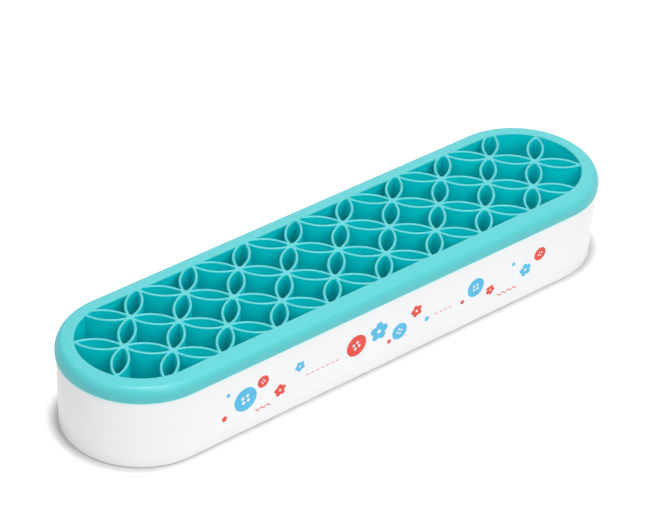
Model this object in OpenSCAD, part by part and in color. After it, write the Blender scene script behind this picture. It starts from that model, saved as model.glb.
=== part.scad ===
// Oblong desk holder for knitting needles, crochet hooks and small sewing tools.
// A white tray carries a soft lift-out insert. The insert's walls bow from joint to joint
// and leave petal cells between four-pointed cells, all open through to the tray's floor.
// The long side lies along X, and the holder stands on the plane Z = 0.

/* [Cell pattern] */
// Distance between neighbouring wall joints along the holder
pitch = 23.2; // [21:0.2:26]
// Number of joint distances along the middle row
joint_spaces = 8; // [4:2:10]
// Distance that each wall bows out from the straight line between its joints
wall_bow = 2.75; // [1.8:0.05:3.1]
// Thickness of the cell walls
wall_t = 1; // [0.7:0.05:1.4]
// Radius of the rounding in the tips of the petal cells
petal_tip = 0.6; // [0.3:0.05:0.8]

/* [Insert] */
// Distance from the middle row's last joint to the end wall
end_gap = 15; // [13:0.5:17]
// Depth by which the long walls cut into the outer joints
joint_cut = 1; // [0.6:0.1:1.6]
// Thickness of the sleeve round the cells
sleeve_t = 1.2; // [0.8:0.1:1.6]
// Height from the table to the tops of the cell walls
wall_top = 33.6; // [30:0.2:45]
// Width of the rim, from the cells to the widest part of its skirt
rim_w = 6.45; // [6:0.05:8]
// Height of the rim's skirt, below the cell walls' tops
skirt_h = 6.3; // [5.6:0.1:8]
// Thickness of the rim where it rests on the tray
flange_t = 2.2; // [1.8:0.1:2.6]

/* [Tray] */
// Thickness of the tray's side walls
tray_wall = 2.4; // [2:0.1:2.8]
// Thickness of the tray's floor
tray_floor = 2.2; // [1.6:0.1:3]
// Slope of the tray's side walls, in degrees
draft = 1.1; // [0.5:0.1:2]
// Radius of the rounding under the tray's edge
foot_r = 1.5; // [1:0.1:3.5]
// Gap between the rim's skirt and the lip that it covers
clearance = 0.3; // [0.2:0.05:0.5]

/* [Hidden] */
$fn = 96;

// Cell pattern: places are counted in half pitches, and the joints lie where both counts
// are whole numbers with an even sum
half = pitch / 2;
last = joint_spaces + 1;
chord = half * sqrt(2);
arc_r = (pow(chord / 2, 2) + pow(wall_bow, 2)) / (2 * wall_bow);
arc_back = arc_r - wall_bow;
end_reach = 1.5;

// Petal cells: the two bows are cut short where a small circle touches both
cell_r = arc_r - wall_t / 2;
tip_x = sqrt(pow(cell_r - petal_tip, 2) - pow(arc_back, 2));
tip_meet = tip_x * cell_r / (cell_r - petal_tip);

// Plan of the insert: every outline is a rounded oblong round the same middle line
inner_r = 2 * half - joint_cut;
line_l = 2 * (joint_spaces * half + end_gap - inner_r);
sleeve_r = inner_r + sleeve_t;

// Rim: a sloping top, a rounded shoulder, and a skirt that swells and draws in again
swell_r = inner_r + rim_w;
rim_lift = 0.12;
melt_w = 0.5;
shoulder_r = 2;
shoulder_end = 40;
top_slope = 5;
bulge_r = 5;
lower_bulge_r = 8.6;
hem_r = 0.35;
swell_z = wall_top - 4.1;
skirt_z = wall_top - skirt_h;
flange_z = wall_top - flange_t;
arc_step = 9;

// Tray: the lip stands inside the skirt, on a ledge just under the skirt's hem
hem_draw = lower_bulge_r * (1 - cos(asin((swell_z - skirt_z - hem_r) / lower_bulge_r)));
hem_out_r = swell_r - hem_draw;
ledge_gap = 0.1;
ledge_z = skirt_z - ledge_gap;
ledge_r = hem_out_r - 0.35;
skirt_t = 1.35;
skirt_in_r = hem_out_r - skirt_t;
lip_r = skirt_in_r - clearance;
tray_foot_r = ledge_r - (ledge_z - foot_r) * tan(draft);
tray_in_top_r = ledge_r - tray_wall;
floor_fillet = 2;
tray_in_foot_r = tray_in_top_r - (flange_z - tray_floor - floor_fillet) * tan(draft);
insert_z = tray_floor + 1;

// Points along a circular arc, from one angle to another
function arc(centre, r, from, to) =
    let (steps = max(2, ceil(abs(to - from) / arc_step)))
    [for (i = [0 : steps]) centre + r * [cos(from + (to - from) * i / steps),
                                         sin(from + (to - from) * i / steps)]];

// A solid with the same section all round: half turns at both ends and straights between.
// The section's first coordinate is the distance from the holder's middle line.
module oblong_solid() {
    for (side = [0, 180])
        rotate([0, 0, side]) {
            translate([line_l / 2, 0, 0])
                rotate([0, 0, -90])
                    rotate_extrude(angle = 180)
                        children();
            translate([-line_l / 2, 0, 0])
                rotate([90, 0, 90])
                    linear_extrude(line_l)
                        children();
        }
}

// The oblong's plan at a given distance from the middle line
module oblong(r) {
    square([line_l, 2 * r], center = true);
    for (side = [-1, 1])
        translate([side * line_l / 2, 0])
            circle(r);
}

// Plan of a petal that lies along X, pointed where the edges of its two discs cross
module petal(r) {
    intersection_for (side = [-1, 1])
        translate([0, side * arc_back])
            circle(r);
}

// Plan of the space in a petal: its two bows, and a small circle in each tip
module petal_cell() {
    intersection() {
        petal(cell_r);
        square([2 * tip_meet, pitch], center = true);
    }
    for (side = [-1, 1])
        translate([side * tip_x, 0])
            circle(petal_tip);
}

// Plan of the petal ring whose middle is at [u, v], in half pitches. Its walls meet the next
// rings' walls at the edges of its square. An outermost ring's tip reaches out to the sleeve,
// which cuts off what lies past it.
module petal_ring(u, v, lean) {
    intersection() {
        translate([u, v] * half)
            difference() {
                intersection() {
                    rotate(lean * 45)
                        petal(arc_r + wall_t / 2);
                    union() {
                        square(half, center = true);
                        if (abs(u) + abs(v) == last)
                            translate([sign(u), sign(v)] * half / 2)
                                square(2 * end_reach, center = true);
                    }
                }
                rotate(lean * 45)
                    petal_cell();
            }
        oblong(inner_r);
    }
}

// Every second row of the petal rings that lean one way, 1 to the right and -1 to the left.
// The rings of one such set stand clear of each other.
module petal_rings(lean, row) {
    color("mediumturquoise")
        translate([0, 0, insert_z])
            linear_extrude(wall_top - insert_z)
                for (j = [row - 2, row], i = [-last : last - 1])
                    if ((i + j) % 2 == 0 ? lean > 0 : lean < 0)
                        if (abs(i + 0.5) + abs(j + 0.5) <= last)
                            petal_ring(i + 0.5, j + 0.5, lean);
}

// Section of the insert's rim and of the sleeve that hangs from it round the cells
function rim_section() =
    let (
        bulge_c = [swell_r - bulge_r, swell_z],
        shoulder_out = bulge_c + bulge_r * [cos(shoulder_end), sin(shoulder_end)],
        shoulder_c = shoulder_out - shoulder_r * [cos(shoulder_end), sin(shoulder_end)]
    )
    concat(
        [[inner_r, insert_z], [sleeve_r, insert_z], [sleeve_r, flange_z],
         [skirt_in_r, flange_z], [skirt_in_r, skirt_z]],
        arc([hem_out_r - hem_r, skirt_z + hem_r], hem_r, -90, 0),
        arc([swell_r - lower_bulge_r, swell_z], lower_bulge_r,
            -asin((swell_z - skirt_z - 2 * hem_r) / lower_bulge_r), 0),
        arc(bulge_c, bulge_r, arc_step / 2, shoulder_end),
        arc(shoulder_c, shoulder_r, shoulder_end + arc_step, 90 - top_slope),
        [[inner_r + melt_w, wall_top + rim_lift], [inner_r, wall_top]]
    );

// Half section of the tray: floor, drafted wall, ledge and lip
function tray_section() = concat(
    [[0, 0]],
    arc([tray_foot_r - foot_r, foot_r], foot_r, -90, 0),
    [[ledge_r, ledge_z], [lip_r, ledge_z], [lip_r, flange_z], [tray_in_top_r, flange_z]],
    arc([tray_in_foot_r - floor_fillet, tray_floor + floor_fillet], floor_fillet, 0, -90),
    [[0, tray_floor]]
);

module tray() {
    color("whitesmoke")
        oblong_solid()
            polygon(tray_section());
}

module insert_rim() {
    color("mediumturquoise")
        oblong_solid()
            polygon(rim_section());
}

module petals_right_a() petal_rings(1, 0);
module petals_right_b() petal_rings(1, 1);
module petals_left_a() petal_rings(-1, 0);
module petals_left_b() petal_rings(-1, 1);

tray();
insert_rim();
petals_right_a();
petals_right_b();
petals_left_a();
petals_left_b();
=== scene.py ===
# %% [markdown]
# # A desk holder for needles and hooks
# The real object is two mouldings: a white tray of hard, satin plastic, and a soft turquoise
# insert whose walls leave petal cells between four-pointed cells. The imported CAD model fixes
# every size and place. This lesson dresses it: it sweeps the tray and the insert's rim round
# the holder's oblong, cuts the cells out of a block with pins, as the mould does, prints a
# small sewing pattern on the front and lights it all as a studio would.

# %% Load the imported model
import math

import bpy
from mathutils import Matrix, Quaternion, Vector


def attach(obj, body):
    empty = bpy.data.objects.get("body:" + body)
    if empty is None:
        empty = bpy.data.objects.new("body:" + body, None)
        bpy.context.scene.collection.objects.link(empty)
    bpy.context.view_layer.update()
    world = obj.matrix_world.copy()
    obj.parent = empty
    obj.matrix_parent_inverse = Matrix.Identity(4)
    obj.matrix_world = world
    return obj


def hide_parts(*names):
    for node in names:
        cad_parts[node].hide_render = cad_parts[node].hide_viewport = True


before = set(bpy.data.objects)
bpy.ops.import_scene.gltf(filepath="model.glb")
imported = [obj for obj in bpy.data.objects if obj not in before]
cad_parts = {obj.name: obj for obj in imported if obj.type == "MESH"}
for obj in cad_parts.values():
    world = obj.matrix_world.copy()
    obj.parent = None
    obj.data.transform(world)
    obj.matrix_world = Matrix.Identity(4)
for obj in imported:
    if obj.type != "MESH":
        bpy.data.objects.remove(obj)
scene = bpy.context.scene
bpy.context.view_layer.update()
print("nodes:", sorted(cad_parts))

# %% [markdown]
# Operators act on everything that is selected, and the import leaves the CAD nodes selected,
# so every new piece starts with nothing selected. These helpers do the small steps that each
# piece repeats: start a primitive, pick its edges by place, copy, join, cut and smooth.

# %% Small modelling helpers
MM = 0.001


def start(add, **values):
    """A new primitive, with nothing else selected."""
    bpy.ops.object.select_all(action="DESELECT")
    add(**values)
    return bpy.context.object


def only(obj):
    """Makes obj the one selected and active object."""
    bpy.ops.object.select_all(action="DESELECT")
    obj.select_set(True)
    bpy.context.view_layer.objects.active = obj


def in_edit_mode(obj, *steps):
    """Runs the steps in edit mode, with all of obj's mesh selected at first."""
    only(obj)
    bpy.ops.object.mode_set(mode="EDIT")
    bpy.ops.mesh.select_all(action="SELECT")
    for step in steps:
        step()
    bpy.ops.object.mode_set(mode="OBJECT")


def pick_edges(obj, wanted):
    """In edit mode, selects the edges whose two ends both pass the test."""
    bpy.ops.mesh.select_all(action="DESELECT")
    bpy.ops.mesh.select_mode(type="EDGE")
    bpy.ops.object.mode_set(mode="OBJECT")
    points = obj.data.vertices
    for edge in obj.data.edges:
        edge.select = all(wanted(points[v].co) for v in edge.vertices)
    bpy.ops.object.mode_set(mode="EDIT")


def copied(obj, name, matrix):
    """A copy of obj with its own mesh, moved, turned or mirrored by the matrix."""
    twin = obj.copy()
    twin.data = obj.data.copy()
    twin.name = twin.data.name = name
    scene.collection.objects.link(twin)
    twin.data.transform(matrix)
    if matrix.determinant() < 0:
        twin.data.flip_normals()
    return twin


def joined(parts, name):
    """Joins the parts into one object of that name."""
    only(parts[0])
    for part in parts:
        part.select_set(True)
    if len(parts) > 1:
        bpy.ops.object.join()
    whole = bpy.context.object
    whole.name = whole.data.name = name
    return whole


def cut(obj, tool, operation):
    """Applies a boolean of obj with the tool, and removes the tool."""
    only(obj)
    step = obj.modifiers.new("cut", "BOOLEAN")
    step.operation, step.solver, step.object = operation, "MANIFOLD", tool
    bpy.ops.object.modifier_apply(modifier=step.name)
    bpy.data.objects.remove(tool)


def smooth(obj, degrees):
    """Smooth shading on every edge that turns by less than the angle."""
    only(obj)
    bpy.ops.object.shade_smooth_by_angle(angle=math.radians(degrees))


# %% [markdown]
# The camera was placed by matching the joints of the cell walls and the outlines of the rim
# and the foot with the photograph. It stands well back with a long lens, so the holder's long
# sides converge only a little. It looks down by 35 degrees and leans by under 3 degrees.

# %% Camera
EYE = Vector((-0.6025, -0.67425, 0.66199))
AIM = Vector((-0.00469, 0.00147, 0.03073))
CAMERA_LEAN = math.radians(2.635)
# Focal length and width of the photograph, both in its pixels
FOCAL_PIXELS, PHOTO_WIDTH = 3187.3, 650

lens = bpy.data.cameras.new("camera")
lens.sensor_width = 36
lens.lens = FOCAL_PIXELS / PHOTO_WIDTH * lens.sensor_width
lens.clip_start, lens.clip_end = 0.05, 20
camera = bpy.data.objects.new("camera", lens)
scene.collection.objects.link(camera)
camera.location = EYE
camera.rotation_mode = "QUATERNION"
camera.rotation_quaternion = (AIM - EYE).to_track_quat("-Z", "Y") @ Quaternion(
    (0, 0, 1), CAMERA_LEAN
)
scene.camera = camera
print("lens:", round(lens.lens, 1), "mm, from", round((AIM - EYE).length, 3), "m")

# %% [markdown]
# The plan of every part of the holder is the same oblong: two half circles and two straights
# round one middle line. A section is swept round it in four strokes: a half turn by Spin, a
# straight by Extrude, and both again. Spin keeps the ends exactly round, which a stretched
# or subdivided box would not.

# %% Sizes shared with the CAD model, and the sweep round the oblong
HALF_PITCH = 11.6 * MM
WALL = 1 * MM
BOW = 2.75 * MM
SLEEVE_IN, SLEEVE_OUT = 22.2 * MM, 23.4 * MM
LINE = 171.2 * MM
WALL_TOP = 33.6 * MM
GRID_FOOT = 3.2 * MM
FLANGE = 31.4 * MM
EDGE = 0.25 * MM
END_STEPS = 48
STRAIGHT_STEPS = 12
SAME_PLACE = 1e-7


def arc(out, height, radius, first, last, steps):
    """Section points along an arc, as distance from the middle line and height."""
    turns = [math.radians(first + (last - first) * i / steps) for i in range(steps + 1)]
    return [(out + radius * math.cos(t), height + radius * math.sin(t)) for t in turns]


def sweep_round(name, section, closed):
    """Sweeps a section, open or closed, once round the oblong."""
    ring = start(
        bpy.ops.mesh.primitive_circle_add, vertices=len(section), fill_type="NOTHING"
    )
    ring.name = ring.data.name = name
    for point, (out, height) in zip(ring.data.vertices, section):
        point.co = (LINE / 2, -out, height)
    ends = [ring.data.vertices[i].co.copy() for i in (0, len(section) - 1)]

    def open_up():
        pick_edges(ring, lambda co: any((co - end).length < SAME_PLACE for end in ends))
        bpy.ops.mesh.delete(type="EDGE_FACE")
        bpy.ops.mesh.select_all(action="SELECT")

    def half_turn(side):
        # Without a window, Spin turns clockwise for a positive angle.
        bpy.ops.mesh.spin(
            steps=END_STEPS, angle=-math.pi, center=(side * LINE / 2, 0, 0), axis=(0, 0, 1)
        )

    def straight(side):
        for _ in range(STRAIGHT_STEPS):
            bpy.ops.mesh.extrude_region_move(
                TRANSFORM_OT_translate={"value": (side * LINE / STRAIGHT_STEPS, 0, 0)}
            )

    in_edit_mode(
        ring,
        *([] if closed else [open_up]),
        lambda: half_turn(1),
        lambda: straight(-1),
        lambda: half_turn(-1),
        lambda: straight(1),
        lambda: bpy.ops.mesh.select_all(action="SELECT"),
        lambda: bpy.ops.mesh.remove_doubles(threshold=1e-6),
        lambda: bpy.ops.mesh.normals_make_consistent(inside=False),
    )
    print(name, len(ring.data.polygons), "faces")
    return ring


# %% [markdown]
# The tray is hard plastic: a drafted wall with a rounded foot, a ledge just under the rim's
# hem, and a thin lip inside the skirt that carries the insert. Its section is open, from the
# edge of the underside over the lip to the edge of the floor. The underside and the floor are
# filled afterwards, and each gets a narrow inset ring, so that the smooth shading of the
# rounding doesn't run on over the flat.

# %% Tray
DRAFT = 1.1
FOOT, FOOT_ROUND = 27.605 * MM, 1.5 * MM
LEDGE, LEDGE_TOP = 28.099 * MM, 27.2 * MM
LIP_OUT, LIP_IN = 26.799 * MM, 25.699 * MM
FLOOR, FLOOR_ROUND = 2.2 * MM, 2 * MM
FLOOR_CORNER = 25.176 * MM
INSET_RING = 1.5 * MM

tray_section = (
    arc(FOOT - FOOT_ROUND, FOOT_ROUND, FOOT_ROUND, -90, -DRAFT, 8)
    + arc(LEDGE - EDGE, LEDGE_TOP - EDGE, EDGE, 0, 90, 3)
    + [(LIP_OUT, LEDGE_TOP)]
    + arc(LIP_OUT - EDGE, FLANGE - EDGE, EDGE, 0, 90, 2)
    + arc(LIP_IN + EDGE, FLANGE - EDGE, EDGE, 90, 180, 2)
    + arc(FLOOR_CORNER - FLOOR_ROUND, FLOOR + FLOOR_ROUND, FLOOR_ROUND, 0, -90, 6)
)
tray = sweep_round("tray_shell", tray_section, closed=False)


def fill_flat(height):
    """Fills the open outline at that height, with a narrow ring round its edge."""
    pick_edges(tray, lambda co: abs(co.z - height) < SAME_PLACE)
    bpy.ops.mesh.edge_face_add()
    bpy.ops.mesh.inset(thickness=INSET_RING, depth=0)


in_edit_mode(
    tray,
    lambda: fill_flat(0),
    lambda: fill_flat(FLOOR),
    lambda: bpy.ops.mesh.select_all(action="SELECT"),
    lambda: bpy.ops.mesh.normals_make_consistent(inside=False),
)
smooth(tray, degrees=40)

# %% [markdown]
# The insert's rim is one soft moulding with the cell walls. Its section goes up the sleeve
# that hangs round the cells, under the flange, round the skirt's thin hem, and over a swell
# and a rounded shoulder back to the crisp edge above the cells. The tight shoulder draws the
# bright line round the rim.

# %% Rim of the insert
SKIRT_IN, HEM, SKIRT_FOOT = 27.099 * MM, 28.449 * MM, 27.3 * MM
SWELL, SWELL_HEIGHT = 28.65 * MM, 29.5 * MM
BULGE, LOWER_BULGE, SHOULDER = 5 * MM, 8.6 * MM, 2 * MM
SHOULDER_END, TOP_SLOPE = 40, 5
HEM_ROUND = 0.35 * MM
# The rim's top ends in a low crest round the cells, with a small round edge
CREST, CREST_WIDTH, CREST_EDGE = WALL_TOP + 0.1 * MM, 0.7 * MM, 0.3 * MM
# Degrees left out between two arcs that touch, so that no point comes twice
ARC_GAP = 5

bulge_out = SWELL - BULGE
shoulder_out = bulge_out + (BULGE - SHOULDER) * math.cos(math.radians(SHOULDER_END))
shoulder_up = SWELL_HEIGHT + (BULGE - SHOULDER) * math.sin(math.radians(SHOULDER_END))
lower_first = math.degrees(math.asin((SWELL_HEIGHT - SKIRT_FOOT - 2 * HEM_ROUND) / LOWER_BULGE))
rim_section = (
    [(SLEEVE_IN, GRID_FOOT), (SLEEVE_OUT, GRID_FOOT), (SLEEVE_OUT, FLANGE)]
    + [(SKIRT_IN, FLANGE)]
    + arc(SKIRT_IN + EDGE, SKIRT_FOOT + EDGE, EDGE, 180, 270, 2)
    + arc(HEM - HEM_ROUND, SKIRT_FOOT + HEM_ROUND, HEM_ROUND, -90, 0, 4)
    + arc(SWELL - LOWER_BULGE, SWELL_HEIGHT, LOWER_BULGE, -lower_first, 0, 4)
    + arc(bulge_out, SWELL_HEIGHT, BULGE, ARC_GAP, SHOULDER_END, 8)
    + arc(shoulder_out, shoulder_up, SHOULDER, SHOULDER_END + ARC_GAP, 90 - TOP_SLOPE, 8)
    + [(SLEEVE_IN + CREST_WIDTH, CREST)]
    + arc(SLEEVE_IN + CREST_EDGE, CREST - CREST_EDGE, CREST_EDGE, 90, 180, 3)
)
insert = sweep_round("insert_moulding", rim_section, closed=True)

# %% [markdown]
# The cells are what makes this insert: petals, whose two walls bow apart from joint to joint,
# and four-pointed cells between them. In the mould they are pins, and here too the pins are
# modelled: one per kind of cell, with the cell's outline, slightly rounded tips and a trumpet
# at the top that leaves the wall tops round. An outline is a chain of arcs. The pin starts as
# a filled circle whose points move on to that outline, goes down by Inset steps for the
# trumpet and one long Extrude, and then grows up past the wall tops.

# %% Pins that leave the cells
CHORD = HALF_PITCH * math.sqrt(2)
BOW_RADIUS = ((CHORD / 2) ** 2 + BOW**2) / (2 * BOW)
BOW_BACK = BOW_RADIUS - BOW
TOP_ROUND = 0.4 * MM
PETAL_TIP, POINT_TIP = 0.6 * MM, 0.12 * MM
BOW_STEPS, TIP_STEPS, TRUMPET_STEPS = 16, 5, 4
# Where the bows have no petal to face, the outline's corner lies out in the sleeve
PAST_SLEEVE = 1.2 * HALF_PITCH
# The middle of the first quarter's bow, seen from the bow's own centre
FACING = 1.25 * math.pi


def turned(points, degrees):
    """The points turned about the origin."""
    turn = Matrix.Rotation(math.radians(degrees), 2)
    return [turn @ Vector(point) for point in points]


def arc_points(centre, radius, first, last, steps):
    """Points on an arc between two angles in radians."""
    turns = [first + (last - first) * i / steps for i in range(steps + 1)]
    return [Vector(centre) + radius * Vector((math.cos(t), math.sin(t))) for t in turns]


def petal_outline():
    """A petal along X: two bows and two round tips, grown by the trumpet."""
    radius, tip = BOW_RADIUS - WALL / 2 + TOP_ROUND, PETAL_TIP + TOP_ROUND
    tip_x = math.sqrt((radius - tip) ** 2 - BOW_BACK**2)
    meet = math.atan2(BOW_BACK, tip_x)
    half = arc_points((0, -BOW_BACK), radius, meet, math.pi - meet, BOW_STEPS)
    half += arc_points((-tip_x, 0), tip, math.pi - meet, math.pi + meet, TIP_STEPS)[1:-1]
    return half + turned(half, 180)


def pointed_outline(petals):
    """A four-pointed cell with bows in the given quarters, open past the sleeve elsewhere."""
    radius, tip = BOW_RADIUS + WALL / 2 - TOP_ROUND, POINT_TIP + TOP_ROUND
    back = (CHORD / 2 + BOW_BACK) / math.sqrt(2)
    tip_y = back - math.sqrt((radius + tip) ** 2 - back**2)
    # Half the angle of a bow between two round tips, and of one that runs on to its joint
    short = math.atan2(back, back - tip_y) - math.pi / 4
    full = math.acos(BOW_BACK / radius)
    outline = []
    for quarter in range(4):
        if quarter not in petals:
            outline += turned([(PAST_SLEEVE, PAST_SLEEVE)], 90 * quarter)
            continue
        before, after = (quarter - 1) % 4 in petals, (quarter + 1) % 4 in petals
        first = FACING + (short if before else full)
        last = FACING - (short if after else full)
        points = arc_points((back, back), radius, first, last, BOW_STEPS)
        if after:
            turn = math.pi / 4 - short
            points += arc_points((0, tip_y), tip, turn, math.pi - turn, TIP_STEPS)[1:-1]
        outline += turned(points, 90 * quarter)
    return outline


def pin(name, outline):
    """A pin with that outline at its widest, trumpeted at the wall tops."""
    made = start(
        bpy.ops.mesh.primitive_circle_add, vertices=len(outline), fill_type="NGON"
    )
    made.name = made.data.name = name
    for point, (x, y) in zip(made.data.vertices, outline):
        point.co = (x, y, WALL_TOP)

    def lower():
        """Extrudes the face down through the trumpet and past the foot of the walls."""
        bpy.ops.mesh.flip_normals()
        steps = [math.pi / 2 * i / TRUMPET_STEPS for i in range(TRUMPET_STEPS + 1)]
        for turn, following in zip(steps, steps[1:]):
            bpy.ops.mesh.inset(
                thickness=TOP_ROUND * (math.sin(following) - math.sin(turn)),
                depth=TOP_ROUND * (math.cos(turn) - math.cos(following)),
            )
        bpy.ops.mesh.extrude_region_move(
            TRANSFORM_OT_translate={"value": (0, 0, -WALL_TOP)}
        )

    def close_top():
        pick_edges(made, lambda co: co.z > WALL_TOP - SAME_PLACE)
        bpy.ops.mesh.extrude_region_move(TRANSFORM_OT_translate={"value": (0, 0, MM)})
        bpy.ops.mesh.edge_face_add()

    in_edit_mode(
        made,
        lower,
        close_top,
        lambda: bpy.ops.mesh.select_all(action="SELECT"),
        lambda: bpy.ops.mesh.normals_make_consistent(inside=False),
    )
    return made


# %% [markdown]
# Places are counted in half pitches. Joints lie where both counts are whole with an even sum,
# pointed cells where the sum is odd, and each petal fills the square between four such places
# and leans to one side or the other in turn. The outermost pointed cells have no petals on
# their outer side. All pins are copied to their places and joined, which is allowed because
# none touches another, and a single Boolean cuts them out of a solid block. The block ends just
# inside the sleeve, and a second Boolean unites the walls with the rim.

# %% Cell walls, united with the rim
LAST = 9
WALL_OVERLAP = 0.2 * MM
petal_pin = pin("petal_pin", petal_outline())
inner_pin = pin("inner_pin", pointed_outline((0, 1, 2, 3)))
corner_pin = pin("corner_pin", pointed_outline((1, 2, 3)))
end_pin = pin("end_pin", pointed_outline((1, 2)))


def at(i, j, degrees=0):
    """The place i, j half pitches from the middle, turned about its own centre."""
    return Matrix.Translation((i * HALF_PITCH, j * HALF_PITCH, 0)) @ Matrix.Rotation(
        math.radians(degrees), 4, "Z"
    )


pins = []
for j in range(-2, 2):
    for i in range(-LAST, LAST):
        if abs(i + 0.5) + abs(j + 0.5) <= LAST:
            lean = 45 if (i + j) % 2 == 0 else -45
            pins.append(copied(petal_pin, "pin", at(i + 0.5, j + 0.5, lean)))
petal_count = len(pins)
for j, reach in ((-2, 7), (-1, 6), (0, 7), (1, 6), (2, 7)):
    pins += [copied(inner_pin, "pin", at(i, j)) for i in range(-reach, reach + 1, 2)]
for quarter, place in enumerate(((8, 1), (-8, 1), (-8, -1), (8, -1))):
    pins.append(copied(corner_pin, "pin", at(*place, 90 * quarter)))
pins += [copied(end_pin, "pin", at(LAST, 0)), copied(end_pin, "pin", at(-LAST, 0, 180))]
for made in (petal_pin, inner_pin, corner_pin, end_pin):
    bpy.data.objects.remove(made)
print(petal_count, "petals and", len(pins) - petal_count, "pointed cells")

walls = start(
    bpy.ops.mesh.primitive_circle_add,
    vertices=2 * END_STEPS,
    radius=SLEEVE_IN + WALL_OVERLAP,
    fill_type="NGON",
    location=(0, 0, GRID_FOOT),
    rotation=(0, 0, math.pi / 2 / END_STEPS),
)
bpy.ops.object.transform_apply(location=True, rotation=True)
for point in walls.data.vertices:
    point.co.x += math.copysign(LINE / 2, point.co.x)
in_edit_mode(
    walls,
    lambda: bpy.ops.mesh.extrude_region_move(
        TRANSFORM_OT_translate={"value": (0, 0, WALL_TOP - GRID_FOOT)}
    ),
    lambda: bpy.ops.mesh.select_all(action="SELECT"),
    lambda: bpy.ops.mesh.normals_make_consistent(inside=False),
)
cut(walls, joined(pins, "pins"), "DIFFERENCE")
cut(insert, walls, "UNION")
smooth(insert, degrees=35)
print("insert:", len(insert.data.polygons), "faces")

# %% [markdown]
# The front carries a small print. The holder here has a plain sewing pattern in the same sky
# blue and warm red, at the same scale: buttons, little flowers, dots and rows of stitches.
# Each motif is a thin layer of ink with real thickness, drawn flat once and copied on to the
# wall, which leans out by its draft.

# %% Motifs of the print
INK = 0.06 * MM
BLUE, RED = "print_blue", "print_red"
# Radii in a motif one unit across, and how far out from its middle the parts stand
WHOLE, BUTTON_HOLE, HOLE_OUT = 0.5, 0.07, 0.15
FLOWER_CORE, FLOWER_PETAL, PETAL_OUT, FLOWER_HOLE = 0.22, 0.19, 0.3, 0.1
STITCH, STITCH_OUT = 0.12, 0.38


def disc(x, y, radius, points=40):
    """A thin round plate of ink, centred at x, y on the drawing."""
    return start(
        bpy.ops.mesh.primitive_cylinder_add,
        vertices=points,
        radius=radius,
        depth=INK,
        location=(x, y, 0),
    )


def placed(obj):
    """Moves the object's place and scale into its mesh."""
    only(obj)
    bpy.ops.object.transform_apply(location=True, rotation=True, scale=True)
    return obj


def punch(plate, x, y, radius):
    """Cuts a round hole through the plate with a pin three times its thickness."""
    hole = placed(disc(x, y, radius, 24))
    hole.data.transform(Matrix.Scale(3, 4, (0, 0, 1)))
    cut(plate, hole, "DIFFERENCE")


def button():
    """A button one unit across, with four holes."""
    plate = placed(disc(0, 0, WHOLE, 64))
    for turn in range(4):
        angle = math.pi / 4 + turn * math.pi / 2
        punch(plate, HOLE_OUT * math.cos(angle), HOLE_OUT * math.sin(angle), BUTTON_HOLE)
    return plate


def flower():
    """A five-petal flower one unit across, with a bare round middle."""
    bloom = placed(disc(0, 0, FLOWER_CORE))
    for turn in range(5):
        angle = math.pi / 2 + turn * math.tau / 5
        x, y = PETAL_OUT * math.cos(angle), PETAL_OUT * math.sin(angle)
        cut(bloom, placed(disc(x, y, FLOWER_PETAL)), "UNION")
    punch(bloom, 0, 0, FLOWER_HOLE)
    return bloom


def stitch():
    """One stitch of a sewn line, a unit long and round at both ends."""
    thread = placed(disc(0, 0, STITCH, 16))
    for point in thread.data.vertices:
        point.co.x += math.copysign(STITCH_OUT, point.co.x)
    return thread


def dot():
    """A plain dot one unit across."""
    return placed(disc(0, 0, WHOLE, 24))


MOTIFS = {"button": button(), "flower": flower(), "stitch": stitch(), "dot": dot()}
print("motifs:", sorted(MOTIFS))

# %% [markdown]
# The layout is a list of motifs with their places along the wall and up it, in millimetres,
# their sizes in millimetres and their tilts in degrees. The rows of stitches are laid by rule:
# two straight rows and two short zigzags.

# %% Layout of the print
LAYOUT = [
    (BLUE, "button", -63, 14.5, 9.5, 12),
    (RED, "button", -55.6, 18.6, 4.8, 40),
    (RED, "flower", -48, 11.4, 5.2, 8),
    (BLUE, "dot", -70.5, 19.5, 1.6, 0),
    (RED, "dot", -71.8, 10.2, 2.2, 0),
    (BLUE, "flower", -39.6, 17.6, 4.4, 30),
    (RED, "button", -14.5, 15, 8.6, 25),
    (BLUE, "flower", -4.4, 16.6, 8, 0),
    (BLUE, "button", 5.2, 12.4, 6.6, 60),
    (RED, "flower", 12.6, 17.8, 5.2, 20),
    (RED, "dot", 0.6, 10, 1.8, 0),
    (BLUE, "dot", 17.8, 12.2, 2, 0),
    (BLUE, "button", 40.4, 15.8, 7.6, 5),
    (RED, "flower", 47.6, 11.6, 4.2, 50),
    (RED, "dot", 34.4, 12, 1.7, 0),
    (BLUE, "flower", 64.4, 13.2, 5.6, 15),
    (RED, "button", 71, 17.4, 5.4, 70),
    (BLUE, "dot", 58.2, 18.2, 1.6, 0),
]
STITCH_ROWS = (
    # First and last place, distance between stitches, height, size, tilt to either side
    (-36, -21, 2.2, 12.6, 1.4, 0),
    (22, 31, 2.2, 12.6, 1.4, 0),
    (-58, -52, 1.3, 7.6, 1.7, 45),
    (52, 61, 1.3, 7.6, 1.7, 45),
)
for first_x, last_x, gap, height, size, tilt in STITCH_ROWS:
    LAYOUT += [
        (RED, "stitch", first_x + gap * i, height, size, tilt if i % 2 else -tilt)
        for i in range(round((last_x - first_x) / gap))
    ]


def on_front(x, height, size, tilt):
    """The place of a motif on the front wall, in metres, with its size and tilt."""
    out = FOOT + (height * MM - FOOT_ROUND) * math.tan(math.radians(DRAFT))
    return (
        Matrix.Translation((x * MM, -out, height * MM))
        @ Matrix.Rotation(math.radians(90 + DRAFT), 4, "X")
        @ Matrix.Rotation(math.radians(tilt), 4, "Z")
        @ Matrix.Diagonal((size * MM, size * MM, 1, 1))
    )


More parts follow.
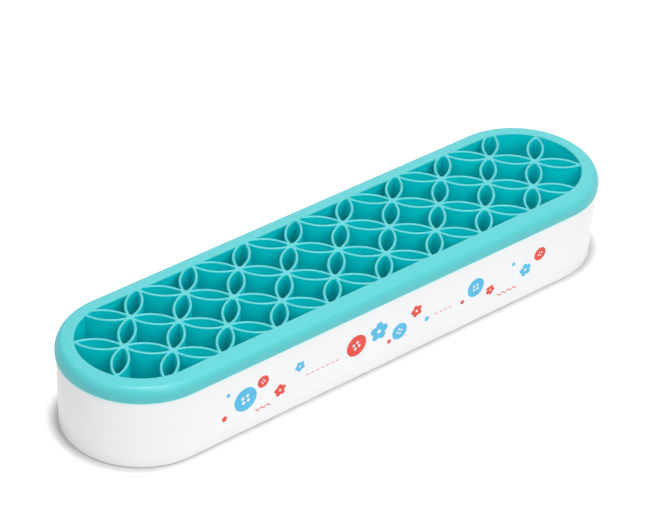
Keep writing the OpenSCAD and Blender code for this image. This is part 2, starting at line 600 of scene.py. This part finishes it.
prints = {}
for ink in (BLUE, RED):
    parts = [
        copied(MOTIFS[kind], "motif", on_front(x, height, size, tilt))
        for colour, kind, x, height, size, tilt in LAYOUT
        if colour == ink
    ]
    prints[ink] = joined(parts, ink)
    smooth(prints[ink], degrees=30)
for motif in MOTIFS.values():
    bpy.data.objects.remove(motif)
print({name: len(piece.data.polygons) for name, piece in prints.items()})

# %% [markdown]
# Every surface of the holder is a moulding or an ink, and each varies a little: its colour is
# slightly cloudy, its gloss changes in soft patches where hands have been, and it has a fine
# grain from the mould. One node group makes those three from the object's own coordinates, in
# metres, and each material sets the sizes and the strengths. Two helpers stand for the Math
# and Map Range nodes that the groups are full of.

# %% Node group for the variation of a moulded surface
def maths(tree, operation, first, second=None):
    """A Math node whose first input is linked and whose second is linked or fixed."""
    made = tree.nodes.new("ShaderNodeMath")
    made.operation = operation
    tree.links.new(first, made.inputs[0])
    if isinstance(second, float):
        made.inputs[1].default_value = second
    elif second:
        tree.links.new(second, made.inputs[1])
    return made.outputs[0]


def ramp(tree, value, low, high, first=0, last=1):
    """The first value below low and the last above high, with an even change between."""
    made = tree.nodes.new("ShaderNodeMapRange")
    for name, setting in (
        ("From Min", low), ("From Max", high), ("To Min", first), ("To Max", last)
    ):
        made.inputs[name].default_value = setting
    tree.links.new(value, made.inputs["Value"])
    return made.outputs["Result"]


def skin_group():
    """Cloudy colour, patchy roughness and a fine grain, from Object coordinates."""
    group = bpy.data.node_groups.new("moulded_skin", "ShaderNodeTree")
    for way, name, kind in (
        ("INPUT", "Colour", "NodeSocketColor"),
        ("INPUT", "Cloud Colour", "NodeSocketColor"),
        ("INPUT", "Roughness", "NodeSocketFloat"),
        ("INPUT", "Roughness Change", "NodeSocketFloat"),
        ("INPUT", "Patches per Metre", "NodeSocketFloat"),
        ("INPUT", "Grains per Metre", "NodeSocketFloat"),
        ("OUTPUT", "Colour", "NodeSocketColor"),
        ("OUTPUT", "Roughness", "NodeSocketFloat"),
        ("OUTPUT", "Grain", "NodeSocketFloat"),
    ):
        group.interface.new_socket(name=name, in_out=way, socket_type=kind)
    nodes, links = group.nodes, group.links
    given, result = nodes.new("NodeGroupInput").outputs, nodes.new("NodeGroupOutput").inputs
    place = nodes.new("ShaderNodeTexCoord").outputs["Object"]

    def noise(scale, detail):
        made = nodes.new("ShaderNodeTexNoise")
        made.inputs["Detail"].default_value = detail
        links.new(place, made.inputs["Vector"])
        links.new(scale, made.inputs["Scale"])
        return made.outputs["Fac"]

    clouds = noise(given["Patches per Metre"], detail=3)
    tint = nodes.new("ShaderNodeMix")
    tint.data_type = "RGBA"
    links.new(clouds, tint.inputs["Factor"])
    links.new(given["Colour"], tint.inputs[6])
    links.new(given["Cloud Colour"], tint.inputs[7])
    links.new(tint.outputs[2], result["Colour"])
    centred = maths(group, "SUBTRACT", clouds, 0.5)
    change = maths(group, "MULTIPLY", centred, given["Roughness Change"])
    links.new(maths(group, "ADD", change, given["Roughness"]), result["Roughness"])
    links.new(noise(given["Grains per Metre"], detail=2), result["Grain"])
    return group


SKIN = skin_group()

# %% [markdown]
# The insert isn't the same all over. Its rim and the tops of the cell walls have a fuller gloss
# than the walls down in the cells, and a painted sheen: a greyer turquoise with more red, which
# stands in for the white that they reflect. A second group works out where that is: outside the
# cells, by the distance from the holder's middle line, or up at the wall tops, by height. The
# skirt's thin hem gets a painted highlight, a near-white turquoise for the light that catches
# it.

# %% Node groups for places on the holder
def round_distance_group():
    """Distance from the holder's middle line, and height, from Object coordinates."""
    group = bpy.data.node_groups.new("round_distance", "ShaderNodeTree")
    for name in ("Distance", "Height"):
        group.interface.new_socket(name=name, in_out="OUTPUT", socket_type="NodeSocketFloat")
    nodes, links = group.nodes, group.links
    outputs = nodes.new("NodeGroupOutput")
    place = nodes.new("ShaderNodeTexCoord")
    split = nodes.new("ShaderNodeSeparateXYZ")
    links.new(place.outputs["Object"], split.inputs[0])
    along = maths(group, "ABSOLUTE", split.outputs["X"])
    past_line = maths(group, "MAXIMUM", maths(group, "SUBTRACT", along, LINE / 2), 0.0)
    across = nodes.new("ShaderNodeCombineXYZ")
    links.new(past_line, across.inputs["X"])
    links.new(split.outputs["Y"], across.inputs["Y"])
    distance = nodes.new("ShaderNodeVectorMath")
    distance.operation = "LENGTH"
    links.new(across.outputs[0], distance.inputs[0])
    links.new(distance.outputs["Value"], outputs.inputs["Distance"])
    links.new(split.outputs["Z"], outputs.inputs["Height"])
    return group


ROUND_DISTANCE = round_distance_group()


def holder_place(tree):
    """A group node that gives the distance from the middle line, and the height."""
    made = tree.nodes.new("ShaderNodeGroup")
    made.node_tree = ROUND_DISTANCE
    return made.outputs["Distance"], made.outputs["Height"]


# Distances or heights between which each part of the insert begins
PAST_CELLS = (SLEEVE_IN + 0.05 * MM, SLEEVE_IN + 0.4 * MM)
ABOVE_SLEEVE = (SKIRT_FOOT - 1 * MM, SKIRT_FOOT - 0.5 * MM)
WALL_TOPS = (WALL_TOP - 0.4 * MM, WALL_TOP - 0.1 * MM)
ABOVE_HEM = (SKIRT_FOOT + 0.35 * MM, SKIRT_FOOT + 0.7 * MM)
OUTSIDE = (HEM - 0.6 * MM, HEM - 0.5 * MM)


def painted_light_masks_group():
    """Masks for painted light: one on the rim and wall tops, nought in the cells, and one on
    the hem.
    """
    group = bpy.data.node_groups.new("rim_tops_and_hem", "ShaderNodeTree")
    for name in ("Rim And Tops", "Hem"):
        group.interface.new_socket(name=name, in_out="OUTPUT", socket_type="NodeSocketFloat")
    outputs = group.nodes.new("NodeGroupOutput")
    distance, height = holder_place(group)
    above_sleeve = ramp(group, height, *ABOVE_SLEEVE)
    rim_part = maths(group, "MULTIPLY", ramp(group, distance, *PAST_CELLS), above_sleeve)
    painted_light_places = maths(group, "MAXIMUM", rim_part, ramp(group, height, *WALL_TOPS))
    skirt = maths(group, "MULTIPLY", ramp(group, distance, *OUTSIDE), above_sleeve)
    # The hem mask carries a painted highlight for the light that catches the thin edge.
    hem = maths(group, "SUBTRACT", skirt, ramp(group, height, *ABOVE_HEM))
    group.links.new(painted_light_places, outputs.inputs["Rim And Tops"])
    group.links.new(hem, outputs.inputs["Hem"])
    return group


# %% [markdown]
# The insert is soft silicone: a clear turquoise with a satin gloss and a very fine grain. The
# tray is hard white plastic with a smoother, tighter gloss. The inks are thin, a little uneven
# and slightly duller than the plastic under them.

# %% Materials
def material(name, colour, cloud, roughness, change, patches, grains, depth, ior):
    """A moulded or printed surface with its own colour, gloss and grain."""
    made = bpy.data.materials.new(name)
    made.use_nodes = True
    nodes, links = made.node_tree.nodes, made.node_tree.links
    shader = nodes["Principled BSDF"]
    shader.inputs["IOR"].default_value = ior
    skin = nodes.new("ShaderNodeGroup")
    skin.node_tree = SKIN
    for socket, value in (
        ("Colour", (*colour, 1)),
        ("Cloud Colour", (*cloud, 1)),
        ("Roughness", roughness),
        ("Roughness Change", change),
        ("Patches per Metre", patches),
        ("Grains per Metre", grains),
    ):
        skin.inputs[socket].default_value = value
    links.new(skin.outputs["Colour"], shader.inputs["Base Color"])
    links.new(skin.outputs["Roughness"], shader.inputs["Roughness"])
    bump = nodes.new("ShaderNodeBump")
    bump.inputs["Strength"].default_value = 1
    bump.inputs["Distance"].default_value = depth
    links.new(skin.outputs["Grain"], bump.inputs["Height"])
    links.new(bump.outputs["Normal"], shader.inputs["Normal"])
    return made


LOOKS = {
    "insert": material(
        "turquoise_silicone",
        (0.0, 0.625, 0.67), (0.0, 0.605, 0.65),
        roughness=0.45, change=0.12, patches=70, grains=4500, depth=0.006 * MM, ior=1.5,
    ),
    "tray": material(
        "white_plastic",
        (0.85, 0.855, 0.865), (0.82, 0.83, 0.845),
        roughness=0.3, change=0.1, patches=45, grains=2500, depth=0.004 * MM, ior=1.5,
    ),
    BLUE: material(
        "blue_ink",
        (0.06, 0.45, 0.74), (0.08, 0.49, 0.77),
        roughness=0.45, change=0.15, patches=900, grains=9000, depth=0.003 * MM, ior=1.4,
    ),
    RED: material(
        "red_ink",
        (0.74, 0.04, 0.02), (0.76, 0.06, 0.035),
        roughness=0.45, change=0.15, patches=900, grains=9000, depth=0.003 * MM, ior=1.4,
    ),
}


def add_painted_light_and_gloss(made, painted_sheen, hem, dull_gloss, full_gloss):
    """Paints sheen on the rim and wall tops, with a fuller gloss, and a highlight on the hem.
    """
    nodes, links = made.node_tree.nodes, made.node_tree.links
    shader = nodes["Principled BSDF"]
    painted_light_places = nodes.new("ShaderNodeGroup")
    painted_light_places.node_tree = painted_light_masks_group()
    colour = shader.inputs["Base Color"].links[0].from_socket
    for output, tone in (("Rim And Tops", painted_sheen), ("Hem", hem)):
        mix = nodes.new("ShaderNodeMix")
        mix.data_type = "RGBA"
        mix.inputs[7].default_value = (*tone, 1)
        links.new(painted_light_places.outputs[output], mix.inputs["Factor"])
        links.new(colour, mix.inputs[6])
        colour = mix.outputs[2]
    links.new(colour, shader.inputs["Base Color"])
    gloss = ramp(made.node_tree, painted_light_places.outputs["Rim And Tops"], 0, 1, dull_gloss, full_gloss)
    links.new(gloss, shader.inputs["Specular IOR Level"])


# Painted sheen: a greyer turquoise with more red on the rim and wall tops stands in for the
# white they reflect. Painted highlight: a near-white turquoise on the thin hem.
add_painted_light_and_gloss(
    LOOKS["insert"],
    painted_sheen=(0.055, 0.49, 0.515), hem=(0.6, 0.95, 0.95), dull_gloss=0.1, full_gloss=0.75,
)


def dress(piece, look, body):
    """Gives a piece its material and its body."""
    piece.data.materials.clear()
    piece.data.materials.append(LOOKS[look])
    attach(piece, body)


dress(insert, "insert", "insert")
dress(tray, "tray", "tray")
for name, piece in prints.items():
    dress(piece, name, "tray")
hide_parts("tray")
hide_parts(*[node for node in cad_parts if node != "tray"])

# %% [markdown]
# The studio is a white table under soft light. A small lamp overhead gives the rim its bright
# line and the foot its tight shadow, and wide lamps on all sides fill the rest, the front
# most. The table and the world add white only for the rays that show them, so the background
# is pure white and the holder's soft shadow stays.

# %% Table, lamps and world
# Brightness of the table for light that bounces off it, and for the rays that show it
TABLE_WHITE, TABLE_SEEN = 0.92, 0.77
# Distances from the middle line over which each glow grows, and how strong it gets
NEAR_GLOW = (FOOT + 0.4 * MM, FOOT + 4 * MM, 0, 0.3)
FAR_GLOW = (0.1, 0.6, 0, 0.4)
WORLD_LIGHT, WORLD_SEEN = 0.03, 1
LAMP_AIM = Vector((0, 0, 15 * MM))


def seen_rays(tree):
    """One for camera, glossy and transmitted rays, which show the background."""
    path = tree.nodes.new("ShaderNodeLightPath")
    seen = maths(tree, "ADD", path.outputs["Is Camera Ray"], path.outputs["Is Glossy Ray"])
    seen = maths(tree, "ADD", seen, path.outputs["Is Transmission Ray"])
    return maths(tree, "MINIMUM", seen, 1.0)


def lit_white(name):
    """White that also glows for the rays that show it, more so away from the holder."""
    made = bpy.data.materials.new(name)
    made.use_nodes = True
    nodes, links = made.node_tree.nodes, made.node_tree.links
    nodes.clear()
    diffuse = nodes.new("ShaderNodeBsdfDiffuse")
    glow = nodes.new("ShaderNodeEmission")
    seen = seen_rays(made.node_tree)
    white = nodes.new("ShaderNodeMix")
    white.data_type = "RGBA"
    white.inputs[6].default_value = (TABLE_WHITE, TABLE_WHITE, TABLE_WHITE, 1)
    white.inputs[7].default_value = (TABLE_SEEN, TABLE_SEEN, TABLE_SEEN, 1)
    links.new(seen, white.inputs["Factor"])
    links.new(white.outputs[2], diffuse.inputs["Color"])
    distance, _ = holder_place(made.node_tree)
    near = ramp(made.node_tree, distance, *NEAR_GLOW)
    both_glows = maths(made.node_tree, "ADD", near, ramp(made.node_tree, distance, *FAR_GLOW))
    links.new(maths(made.node_tree, "MULTIPLY", both_glows, seen), glow.inputs["Strength"])
    both = nodes.new("ShaderNodeAddShader")
    links.new(diffuse.outputs[0], both.inputs[0])
    links.new(glow.outputs[0], both.inputs[1])
    output = nodes.new("ShaderNodeOutputMaterial")
    links.new(both.outputs[0], output.inputs["Surface"])
    return made


table = start(bpy.ops.mesh.primitive_plane_add, size=8, location=(0, 0, 0))
table.name = table.data.name = "table"
table.data.materials.append(lit_white("table_white"))


def soft_lamp(name, place, size, watts):
    """A square softbox that faces the middle of the holder."""
    light = bpy.data.lights.new(name, "AREA")
    light.shape, light.size, light.energy = "SQUARE", size, watts
    lamp = bpy.data.objects.new(name, light)
    scene.collection.objects.link(lamp)
    lamp.location = place
    lamp.rotation_mode = "QUATERNION"
    lamp.rotation_quaternion = (LAMP_AIM - Vector(place)).to_track_quat("-Z", "Y")


LAMPS = {
    "overhead": ((0, 0, 1), 0.2, 4.6),
    "over_camera": ((-0.35, -0.4, 0.95), 0.7, 2.2),
    "front": ((0, -0.85, 0.75), 0.8, 6.1),
    "left_end": ((-0.85, 0, 0.75), 0.8, 3.3),
    "right": ((0.8, -0.35, 0.6), 0.8, 1.8),
    "back": ((0.6, 0.68, 0.63), 0.9, 1.8),
}
for name, (place, size, watts) in LAMPS.items():
    soft_lamp(name, place, size, watts)

world = bpy.data.worlds.new("studio")
scene.world = world
world.use_nodes = True
background = world.node_tree.nodes["Background"]
background.inputs["Color"].default_value = (1, 1, 1, 1)
seen = seen_rays(world.node_tree)
strength = ramp(world.node_tree, seen, 0, 1, WORLD_LIGHT, WORLD_SEEN)
world.node_tree.links.new(strength, background.inputs["Strength"])
scene.view_settings.view_transform = "Standard"
